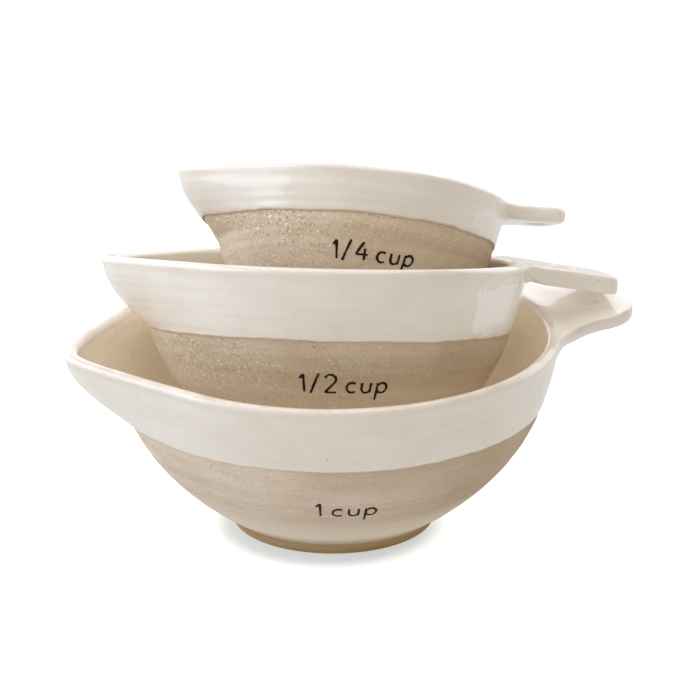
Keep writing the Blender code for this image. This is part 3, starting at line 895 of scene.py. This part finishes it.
def on_wall(cup, across, up, proud):
    """A point on the bare outside: across and up from the mark's centre, along the wall."""
    z = cup.mark_z + up / math.hypot(1.0, float(wall_slope(cup, cup.mark_z)))
    slope = float(wall_slope(cup, z))
    length = math.hypot(1.0, slope)
    facing = -math.pi / 2 - FACE_TURN + math.radians(cup.mark_turn)
    azimuth = facing + across / float(outer_r(cup, cup.mark_z))
    push = float(ring_push(cup, z, azimuth % (2 * math.pi)))
    r = float(outer_r(cup, z)) + (proud + push) / length
    z -= (proud + push) * slope / length
    return np.array([r * math.cos(azimuth), r * math.sin(azimuth), z])


def add_stroke(work, cup, stroke, left, rng):
    """One pen stroke: a flat bead of ink with round ends that follows the wall."""
    size = cup.mark_h
    path = eased(np.array(stroke, float) * size, 0.22) / size
    length = segment_lengths(path).sum() * size
    count = max(int(length / 0.16), 8)
    path = spaced(path, count)
    side = normals_of(path)
    run = np.linspace(0, length, count)
    half = (
        PEN_HALF_WIDTH
        + 0.035 * np.sin(run * 1.3 + rng.uniform(0, 6))
        + 0.02 * np.sin(run * 4.1 + rng.uniform(0, 6))
    )
    half *= np.clip(1.06 - 0.16 * run / max(length, 1e-6), 0.8, 1.1)
    end = np.minimum(run, length - run)
    half = half * np.sqrt(np.clip(1 - (1 - np.minimum(end / 0.30, 1)) ** 2, 0.02, 1))
    loops = []
    for i in range(count):
        loop = []
        for k in range(PEN_SIDES):
            turn = 2 * math.pi * k / PEN_SIDES
            out = half[i] * math.cos(turn)
            raised = INK_HALF_THICKNESS * math.sin(turn) * min(1.0, half[i] / 0.2)
            x, y = path[i] + side[i] * out / size
            across, up = (x + left) * size, (y - GLYPH_MIDDLE) * size
            loop.append(work.verts.new(on_wall(cup, across, up, INK_PROUD + raised) * MM))
        loops.append(loop)
    for a, b in zip(loops, loops[1:]):
        for k in range(PEN_SIDES):
            after = (k + 1) % PEN_SIDES
            work.faces.new((a[k], a[after], b[after], b[k]))
    work.faces.new(loops[0][::-1])
    work.faces.new(loops[-1])


def add_mark(cup, material):
    rng = np.random.default_rng(cup.seed + 77)
    for char, left in layout(cup.mark):
        work = bmesh.new()
        for stroke in GLYPHS[char][1]:
            add_stroke(work, cup, stroke, left, rng)
        bmesh.ops.recalc_face_normals(work, faces=work.faces)
        label = GLYPH_NAMES.get(char, char)
        name = cup.name + "_ink_" + label
        mesh = bpy.data.meshes.new(name)
        work.to_mesh(mesh)
        work.free()
        mesh.shade_smooth()
        mesh.materials.append(material)
        place(name, mesh, cup, [cup.name + "_mark_" + label])


# ------------------------------------------------------------------ node helpers
class Graph:
    """Short names for building a node tree.  Any input may be a value or a socket."""

    def __init__(self, tree):
        self.tree = tree

    def put(self, socket, value):
        if isinstance(value, bpy.types.NodeSocket):
            self.tree.links.new(value, socket)
        elif socket.type == "RGBA":
            socket.default_value = (*value, 1.0)
        else:
            socket.default_value = value

    def node(self, kind, inputs=None, **settings):
        node = self.tree.nodes.new("ShaderNode" + kind)
        for key, value in settings.items():
            setattr(node, key, value)
        for key, value in (inputs or {}).items():
            self.put(node.inputs[key], value)
        return node

    def ramp(self, value, span, to=(0.0, 1.0), curve="SMOOTHSTEP"):
        """The value's span mapped to another range."""
        inputs = {
            "Value": value, "From Min": span[0], "From Max": span[1],
            "To Min": to[0], "To Max": to[1],
        }
        return self.node("MapRange", inputs, interpolation_type=curve).outputs["Result"]

    def math(self, operation, a, b=0.0, clamp=False):
        return self.node("Math", {0: a, 1: b}, operation=operation, use_clamp=clamp).outputs[0]

    def times(self, a, b):
        return self.math("MULTIPLY", a, b)

    def plus(self, a, b):
        return self.math("ADD", a, b)

    def minus(self, a, b):
        return self.math("SUBTRACT", a, b)

    def dot(self, vector, axis):
        node = self.node("VectorMath", {0: vector, 1: axis}, operation="DOT_PRODUCT")
        return node.outputs["Value"]


class Surface(Graph):
    """A material, with patterns in the cup's own frame or the object's, in metres."""

    def __init__(self, name, own_frame=True):
        self.material = bpy.data.materials.new(name)
        self.material.use_nodes = True
        super().__init__(self.material.node_tree)
        self.shader = self.tree.nodes["Principled BSDF"]
        if own_frame:
            self.coords = self.node("Attribute", attribute_name="local").outputs["Vector"]
        else:
            self.coords = self.node("TexCoord").outputs["Object"]

    def attribute(self, name):
        return self.node("Attribute", attribute_name=name).outputs["Fac"]

    def scaled(self, scale, shift=(0, 0, 0)):
        inputs = {"Scale": scale, "Location": shift, "Vector": self.coords}
        return self.node("Mapping", inputs).outputs["Vector"]

    def noise(self, scale, detail=2.0, rough=0.5, warp=0.0, shift=(0, 0, 0)):
        """Noise with scale features per metre along x, y and z."""
        inputs = {
            "Vector": self.scaled(scale, shift), "Scale": 1.0, "Detail": detail,
            "Roughness": rough, "Distortion": warp,
        }
        return self.node("TexNoise", inputs).outputs["Fac"]

    def mix(self, factor, a, b, blend="MIX"):
        inputs = {0: factor, 6: a, 7: b}
        return self.node("Mix", inputs, data_type="RGBA", blend_type=blend).outputs[2]

    def tint(self, factor, colour, by):
        return self.mix(factor, colour, by, blend="MULTIPLY")

    def bump(self, height, strength, distance, under=None):
        inputs = {"Strength": strength, "Distance": distance, "Height": height}
        if under is not None:
            inputs["Normal"] = under
        return self.node("Bump", inputs).outputs["Normal"]

    def shelter(self, reach):
        """How closed in a point is, 0 in the open to 1 deep in a hollow."""
        node = self.node("AmbientOcclusion", {"Distance": reach}, samples=6)
        return self.math("SUBTRACT", 1.0, node.outputs["AO"], clamp=True)

    def set(self, **values):
        for key, value in values.items():
            self.put(self.shader.inputs[key.replace("_", " ")], value)


# ------------------------------------------------------------------ materials
HONEY = (0.81, 0.71, 0.55)
# the half cup's inside colour: partly its glaze, partly painted shade, darker and warmer where the
# cups close round it
SHADED_AMBER = (0.60, 0.48, 0.29)
ROSE = (0.70, 0.53, 0.42)
PINK = (0.80, 0.63, 0.52)

# fill: painted glow that the glaze gives off in hollows, outside and inside, standing in for light
# bounced between the cups; lining: colour inside, for the half cup made darker as painted shade;
# ribs: strength of the throwing lines; worn, blush: amount and colour of the worn edges;
# pooled: paleness of the painted reflection beside the handle; gap: painted shade, browner where
# the cup above is close
GLAZES = {
    "one_cup": dict(
        painted_glow=(0.17, 0.19), lining=HONEY, ribs=0.15, worn=0.85, blush=ROSE, reflection_paleness=0.0, gap=0.0
    ),
    "half_cup": dict(
        painted_glow=(0.05, 0.05), lining=SHADED_AMBER, ribs=0.12, worn=0.50, blush=PINK, reflection_paleness=0.9, gap=0.9
    ),
    "quarter_cup": dict(
        painted_glow=(0.05, 0.05), lining=HONEY, ribs=0.03, worn=0.50, blush=PINK, reflection_paleness=0.5, gap=0.0
    ),
}

# grog: amount of grains and pits, and of the painted glints among the pale grains; tone: overall
# tint; kiln: darkening towards the handle; wiped: painted light, paleness low on the wall standing
# in for light bounced up from the floor
CLAYS = {
    "one_cup": dict(grog_and_glints=0.15, tone=(1.07, 1.075, 1.09), handle_darkening=1.2, floor_bounce=0.85),
    "half_cup": dict(grog_and_glints=0.8, tone=(0.90, 0.88, 0.82), handle_darkening=0.25, floor_bounce=0.45),
    "quarter_cup": dict(grog_and_glints=0.9, tone=(1.12, 1.12, 1.07), handle_darkening=0.45, floor_bounce=0.35),
}


def glaze_material(name, painted_glow, lining, ribs, worn, blush, reflection_paleness, gap):
    cream, milk = (0.845, 0.793, 0.715), (0.880, 0.843, 0.782)
    line_shade, run_shade = (0.95, 0.93, 0.90), (0.97, 0.945, 0.91)
    reflection_white, gap_shade = (0.975, 0.95, 0.92), (0.50, 0.37, 0.22)
    edge_tan, iron = (0.60, 0.43, 0.29), (0.20, 0.13, 0.08)
    # colours of the painted glow, outside and inside the bowl
    glow_outside, glow_inside = (0.95, 0.89, 0.81), (1.0, 0.79, 0.53)

    mat = Surface(name + "_cream_glaze")
    cloud = mat.noise((60, 60, 110), detail=3.0, rough=0.55, warp=0.4)
    lines = mat.noise((26, 26, 620), detail=3.0, rough=0.6)
    # the throwing lines are on the walls, not on the handle's flat faces
    normal = mat.node("NewGeometry").outputs["True Normal"]
    normal_z = mat.node("SeparateXYZ", {0: normal}).outputs["Z"]
    level = mat.ramp(mat.math("ABSOLUTE", normal_z), span=(0.72, 0.90))

    def on_walls(pattern):
        """The pattern, evened out to its middle value on level faces."""
        kept = mat.times(pattern, mat.minus(1.0, level))
        return mat.plus(kept, mat.times(level, 0.5))

    streak = on_walls(lines)
    runs = mat.noise((170, 170, 34), detail=3.0, rough=0.55, warp=0.3)
    colour = mat.mix(mat.ramp(cloud, span=(0.3, 0.7)), cream, milk)
    colour = mat.tint(mat.ramp(streak, span=(0.40, 0.75), to=(0.0, 0.45)), colour, line_shade)
    colour = mat.tint(mat.ramp(runs, span=(0.45, 0.75), to=(0.0, 0.5)), colour, run_shade)
    # painted reflection: a pale patch beside the handle, with a ragged edge
    ragged = mat.noise((150, 150, 60), detail=4.0, rough=0.6, warp=0.6, shift=(0.2, 0.4, 0.1))
    raggedness = 1.7
    pool = mat.plus(mat.attribute("pool"), mat.times(mat.minus(ragged, 0.5), raggedness))
    pool = mat.ramp(pool, span=(0.50, 0.54))
    inside = mat.attribute("inside")
    lined = mat.times(inside, mat.ramp(cloud, span=(0.2, 0.8), to=(0.35, 0.6)))
    colour = mat.mix(lined, colour, lining)
    colour = mat.mix(mat.times(pool, reflection_paleness), colour, reflection_white)
    # painted shade: browner inside where the cup above leaves only a small gap, found by ambient
    # occlusion
    narrow = mat.ramp(mat.shelter(reach=0.012), span=(0.35, 0.85), to=(0.0, gap))
    colour = mat.tint(mat.times(inside, narrow), colour, gap_shade)
    thin = mat.attribute("thin")
    broken = mat.noise((140, 140, 140), detail=4.0, rough=0.6, warp=0.3)
    wear = mat.times(thin, mat.ramp(broken, span=(0.35, 0.7), to=(0.2 * worn, worn)))
    colour = mat.mix(wear, colour, blush)
    # the last fraction of a millimetre of the glaze, where the clay shows through
    edge = mat.ramp(mat.attribute("line_gap"), span=(0.05, 0.28), to=(0.60, 0.0))
    colour = mat.mix(edge, colour, edge_tan)
    # very few iron specks
    cells = mat.node("TexVoronoi", {"Vector": mat.scaled((1, 1, 1)), "Scale": 420.0})
    cell_value = mat.node("SeparateColor", {0: cells.outputs["Color"]}).outputs[0]
    rare = mat.ramp(cell_value, span=(0.9985, 0.9990))
    dot = mat.ramp(cells.outputs["Distance"], span=(0.06, 0.17), to=(1.0, 0.0))
    speck_strength = 0.45
    colour = mat.mix(mat.times(mat.times(dot, rare), speck_strength), colour, iron)
    peel = mat.noise((260, 260, 260))
    calm = on_walls(peel)
    normal = mat.bump(streak, strength=ribs, distance=0.0004)
    normal = mat.bump(calm, strength=0.10, distance=0.0002, under=normal)
    mat.set(
        Base_Color=colour,
        Roughness=mat.ramp(cloud, span=(0.2, 0.8), to=(0.26, 0.36)),
        Coat_Weight=0.9,
        Coat_Roughness=mat.ramp(peel, span=(0.3, 0.7), to=(0.035, 0.075)),
        Coat_IOR=1.5,
        IOR=1.5,
        Normal=normal,
        Coat_Normal=normal,
        # painted glow: the glaze gives off light where cups close round each other, standing in for
        # light bounced between them
        Emission_Color=mat.mix(inside, glow_outside, glow_inside),
        Emission_Strength=mat.times(
            mat.shelter(reach=0.035), mat.ramp(inside, span=(0.0, 1.0), to=painted_glow, curve="LINEAR")
        ),
    )
    return mat.material


def stoneware_material(cup, grog_and_glints, tone, handle_darkening, floor_bounce):
    sand, pale, dark = (0.66, 0.54, 0.43), (0.76, 0.66, 0.55), (0.47, 0.36, 0.25)
    foot_brown, grain_shade = (0.36, 0.220, 0.075), (0.80, 0.76, 0.70)
    grog_and_glint_white, pit_black = (0.98, 0.92, 0.83), (0.22, 0.15, 0.09)
    handle_side_tint, bounce_pale = (0.74, 0.695, 0.61), (0.88, 0.79, 0.67)

    mat = Surface(cup.name + "_stoneware")
    large = mat.noise((45, 45, 70), detail=3.0, rough=0.6, warp=0.3)
    bands = mat.noise((16, 16, 330), detail=4.0, rough=0.62, warp=0.1)
    fine = mat.noise((1500, 1500, 1500), rough=0.6)
    grain = mat.noise((520, 520, 800), detail=3.0, rough=0.65)
    colour = mat.mix(mat.ramp(large, span=(0.3, 0.7)), sand, pale)
    colour = mat.mix(mat.ramp(bands, span=(0.38, 0.68), to=(0.0, 0.30)), colour, dark)
    colour = mat.mix(mat.ramp(grain, span=(0.55, 0.8), to=(0.0, 0.35)), colour, pale)
    colour = mat.tint(mat.ramp(fine, span=(0.35, 0.65), to=(0.35, 0.0)), colour, grain_shade)
    # grog: pale grains and dark pits in drifts along the throwing lines, more of them on the
    # side away from the handle, facing the key light, where the pale grains are partly painted
    # glints
    towards_handle = mat.dot(mat.coords, (0.93, -0.37, 0.0))
    rim = cup.rim_r * MM
    spread = mat.ramp(towards_handle, span=(-0.25 * rim, 0.45 * rim), to=(1.0, 0.35))
    patch = mat.noise((42, 42, 170), detail=3.0, rough=0.6, shift=(0.1, 0.4, 0.35))
    lower = 0.075 * grog_and_glints  # more grog lowers the thresholds of grains and pits

    def drifts(pattern, span, patch_span, least):
        spots = mat.ramp(pattern, span=(span[0] - lower, span[1] - lower))
        drift = mat.times(spread, mat.ramp(patch, span=patch_span, to=(least, 1.0)))
        return mat.times(spots, drift)

    crumb = mat.noise((1450, 1450, 1800), rough=0.55, warp=0.4)
    white = drifts(crumb, span=(0.655, 0.69), patch_span=(0.38, 0.54), least=0.15)
    soot = mat.noise((1300, 1300, 1500), warp=0.3, shift=(0.5, 0.5, 0.5))
    black = drifts(soot, span=(0.69, 0.73), patch_span=(0.38, 0.56), least=0.35)
    white_strength, black_strength = 0.60 + 0.4 * grog_and_glints, 0.60
    colour = mat.mix(mat.times(white, white_strength), colour, grog_and_glint_white)
    colour = mat.mix(mat.times(black, black_strength), colour, pit_black)
    # warmer and darker towards the handle, unevenly
    unevenness = 0.01
    uneven = mat.plus(towards_handle, mat.times(large, unevenness))
    handle_share = mat.ramp(uneven, span=(0.0, rim * 1.15))
    colour = mat.tint(mat.times(handle_share, handle_darkening), colour, handle_side_tint)
    colour = mat.tint(1.0, colour, tone)
    # painted light: paler low on the wall, standing in for light bounced up from the floor; browner
    # at the foot, and a fine dark line under the glaze
    foot = mat.attribute("foot")
    low = mat.attribute("low")
    colour = mat.mix(mat.times(low, floor_bounce), colour, bounce_pale)
    banded = mat.times(foot, mat.ramp(bands, span=(0.3, 0.7), to=(0.75, 1.0)))
    colour = mat.mix(banded, colour, foot_brown)
    edge = mat.ramp(mat.attribute("line_gap"), span=(0.15, 0.75), to=(0.5, 0.0))
    colour = mat.mix(edge, colour, dark)
    normal = mat.bump(bands, strength=0.25, distance=0.0004)
    normal = mat.bump(grain, strength=0.45, distance=0.00025, under=normal)
    normal = mat.bump(fine, strength=0.35, distance=0.00012, under=normal)
    relief = mat.minus(white, black)
    normal = mat.bump(relief, strength=0.6, distance=0.00018, under=normal)
    mat.set(
        Base_Color=colour,
        Roughness=mat.ramp(grain, span=(0.3, 0.7), to=(0.82, 0.96)),
        Normal=normal,
        Specular_IOR_Level=0.25,
    )
    return mat.material


def ink_material():
    black, brown, washed = (0.008, 0.0055, 0.0045), (0.030, 0.020, 0.014), (0.07, 0.05, 0.036)
    mat = Surface("mark_ink")
    mottle = mat.noise((1400, 1400, 1400), detail=3.0, rough=0.6)
    wash = mat.noise((260, 260, 260))
    colour = mat.mix(mat.ramp(mottle, span=(0.35, 0.75)), black, brown)
    colour = mat.mix(mat.ramp(wash, span=(0.5, 0.8), to=(0.0, 0.30)), colour, washed)
    mat.set(
        Base_Color=colour,
        Roughness=mat.ramp(wash, span=(0.3, 0.7), to=(0.5, 0.7)),
        Normal=mat.bump(mottle, strength=0.3, distance=0.0001),
        Specular_IOR_Level=0.2,
    )
    return mat.material


# ------------------------------------------------------------------ the set
def add_stoneware(cup):
    mesh = stoneware_mesh(cup)
    mesh.materials.append(stoneware_material(cup, **CLAYS[cup.name]))
    place(cup.name + "_stoneware", mesh, cup, [cup.name + "_bowl"])


def add_glazed(cup, material):
    blank = bpy.data.objects.new(cup.name + "_blank", glazed_mesh(cup))
    bpy.context.scene.collection.objects.link(blank)
    drill_hole(blank, cup)
    mesh = blank.data
    # the cut may leave an empty material slot
    mesh.materials.clear()
    mesh.materials.append(material)
    stands_for = [cup.name + "_glaze", cup.name + "_handle"]
    place(cup.name + "_glazed", mesh, cup, stands_for)
    bpy.data.objects.remove(blank)


def build_set():
    glazes = {name: glaze_material(name, **look) for name, look in GLAZES.items()}
    ink = ink_material()
    for cup in CUPS:
        add_stoneware(cup)
        add_glazed(cup, glazes[cup.name])
        add_mark(cup, ink)


build_set()


# ------------------------------------------------------------------ floor, light, camera
# The camera's own right and away directions, level.
RIGHT = Vector((0.9703, -0.2419, 0.0))
AWAY = Vector((0.2419, 0.9703, 0.0))

# The studio: soft light from all round, as broad patches of sky.  Each is a direction, as
# right, away and up; the cosines between which it fades in; the heights between which it
# fades out; and its colour.
ALL_ROUND = (-9.0, -8.0)
NO_TOP = (9.0, 8.0)
SKY = [
    ((0.0, 0.0, 1.0), ALL_ROUND, NO_TOP, (0.14, 0.14, 0.14)),
    ((0.0, 1.0, 0.0), (0.30, 0.42), (0.75, 0.45), (1.40, 1.40, 1.40)),
    ((0.97, 0.0, 0.25), (-0.1, 1.0), NO_TOP, (0.12, 0.105, 0.09)),
    ((-0.97, 0.2, 0.15), (0.3, 1.0), NO_TOP, (0.13, 0.14, 0.15)),
    ((0.0, -0.8, 0.6), (0.0, 1.1), NO_TOP, (0.56, 0.51, 0.435)),
]
SKY_SEEN = 1.05  # brightness of the white that the camera sees behind

FLOOR_LIT = (0.39, 0.38, 0.36)  # a light table's own light
FLOOR_SHADE = 0.35  # how much of the light on it the floor gives back
FLOOR_GLOW = 0.55  # what the camera sees on top of that
FOOT_SHADOW_TINT = (0.19, 0.25, 0.29)  # painted shadow: darker, bluer tint of that glow right at the foot
FOOT_SHADOW_SPOT = (-0.0015, -0.0052, 0.0)  # middle of the painted shadow, as right, away, up
FOOT_SHADOW_FADE = (0.0235, 0.0315)  # radii between which the painted shadow fades out


def studio(place_or_direction):
    """The vector given as right, away and up of the camera."""
    right, away, up = place_or_direction
    return RIGHT * right + AWAY * away + Vector((0, 0, up))


def floor_material():
    """A pale light table, which the camera sees nearly white, with a painted shadow in front of the
    one cup's foot.
    """
    mat = Surface("pale_floor", own_frame=False)
    cloud = mat.noise((3, 3, 3))
    darker, lighter = (FLOOR_SHADE * 0.99,) * 3, (FLOOR_SHADE * 1.01,) * 3
    mat.set(
        Base_Color=mat.mix(cloud, darker, lighter), Roughness=0.85, Specular_IOR_Level=0.0
    )
    lit = mat.node("Emission", {"Color": FLOOR_LIT})
    # painted shadow: the camera sees a little less glow, and bluer, right at the foot
    front = studio(FOOT_SHADOW_SPOT)
    from_spot = mat.scaled((1, 1, 1), shift=(-front.x, -front.y, 0.0))
    spread = mat.node("VectorMath", {0: from_spot}, operation="LENGTH").outputs["Value"]
    white = (1.0, 1.0, 1.0)
    foot_shadowed_glow = mat.mix(mat.ramp(spread, span=FOOT_SHADOW_FADE), FOOT_SHADOW_TINT, white)
    to_camera = mat.node("LightPath").outputs["Is Camera Ray"]
    strength = mat.times(to_camera, FLOOR_GLOW)
    glow = mat.node("Emission", {"Color": foot_shadowed_glow, "Strength": strength})
    seen = mat.node("AddShader", {0: mat.shader.outputs[0], 1: glow.outputs[0]})
    total = mat.node("AddShader", {0: seen.outputs[0], 1: lit.outputs[0]})
    mat.put(mat.tree.nodes["Material Output"].inputs["Surface"], total.outputs[0])
    return mat.material


def add_floor():
    bpy.ops.mesh.primitive_plane_add(size=12.0, location=(0, 0, -0.00005))
    floor = bpy.context.object
    floor.name = "floor"
    floor.data.materials.append(floor_material())


def add_softbox(name, spot, size, power, colour=(1, 1, 1)):
    """A rectangular light at spot, in the camera's directions, aimed at the cups."""
    data = bpy.data.lights.new(name, "AREA")
    data.shape = "RECTANGLE"
    data.size, data.size_y = size
    data.energy = power
    data.color = colour
    lamp = bpy.data.objects.new(name, data)
    bpy.context.scene.collection.objects.link(lamp)
    lamp.location = studio(spot)
    aim = Vector((0, 0, 0.05))
    lamp.rotation_euler = (aim - studio(spot)).to_track_quat("-Z", "Y").to_euler()


def add_world():
    world = bpy.data.worlds.new("studio")
    bpy.context.scene.world = world
    world.use_nodes = True
    graph = Graph(world.node_tree)
    direction = graph.node("TexCoord").outputs["Generated"]
    height = graph.node("SeparateXYZ", {0: direction}).outputs["Z"]
    total = None
    for axis, near, top, colour in SKY:
        cosine = graph.dot(direction, studio(axis).normalized())
        patch = graph.times(graph.ramp(cosine, span=near), graph.ramp(height, span=top))
        light = graph.node("VectorMath", {0: colour, "Scale": patch}, operation="SCALE").outputs[0]
        if total is None:
            total = light
        else:
            total = graph.node("VectorMath", {0: total, 1: light}, operation="ADD").outputs[0]
    sky = graph.tree.nodes["Background"]
    graph.put(sky.inputs["Color"], total)
    graph.put(sky.inputs["Strength"], 1.0)
    seen = graph.node("Background", {"Color": (1.0, 1.0, 1.0), "Strength": SKY_SEEN})
    to_camera = graph.node("LightPath").outputs["Is Camera Ray"]
    mixed = graph.node("MixShader", {0: to_camera, 1: sky.outputs[0], 2: seen.outputs[0]})
    graph.put(graph.tree.nodes["World Output"].inputs["Surface"], mixed.outputs[0])


def add_camera():
    data = bpy.data.cameras.new("camera")
    data.sensor_width = 36.0
    data.lens = 195.43
    data.clip_start, data.clip_end = 0.05, 50.0
    camera = bpy.data.objects.new("camera", data)
    bpy.context.scene.collection.objects.link(camera)
    aim = Vector((4.12, -1.03, 44.6)) * MM
    back = Vector((-0.2270, -0.9104, 0.3460))
    distance = 0.950
    camera.location = aim + back * distance
    camera.rotation_euler = (-back).to_track_quat("-Z", "Y").to_euler()
    bpy.context.scene.camera = camera


add_floor()
add_world()
add_camera()
# one softbox to the left, one overhead
add_softbox(
    "key", spot=(-1.25, 0.05, 0.70), size=(1.5, 1.2), power=11.2, colour=(0.98, 1.06, 1.23)
)
add_softbox("top", spot=(0.0, 0.25, 1.30), size=(1.3, 1.3), power=7.8)

view = bpy.context.scene.view_settings
view.view_transform = "Standard"
view.look = "None"
view.exposure = 0.0
view.gamma = 1.0
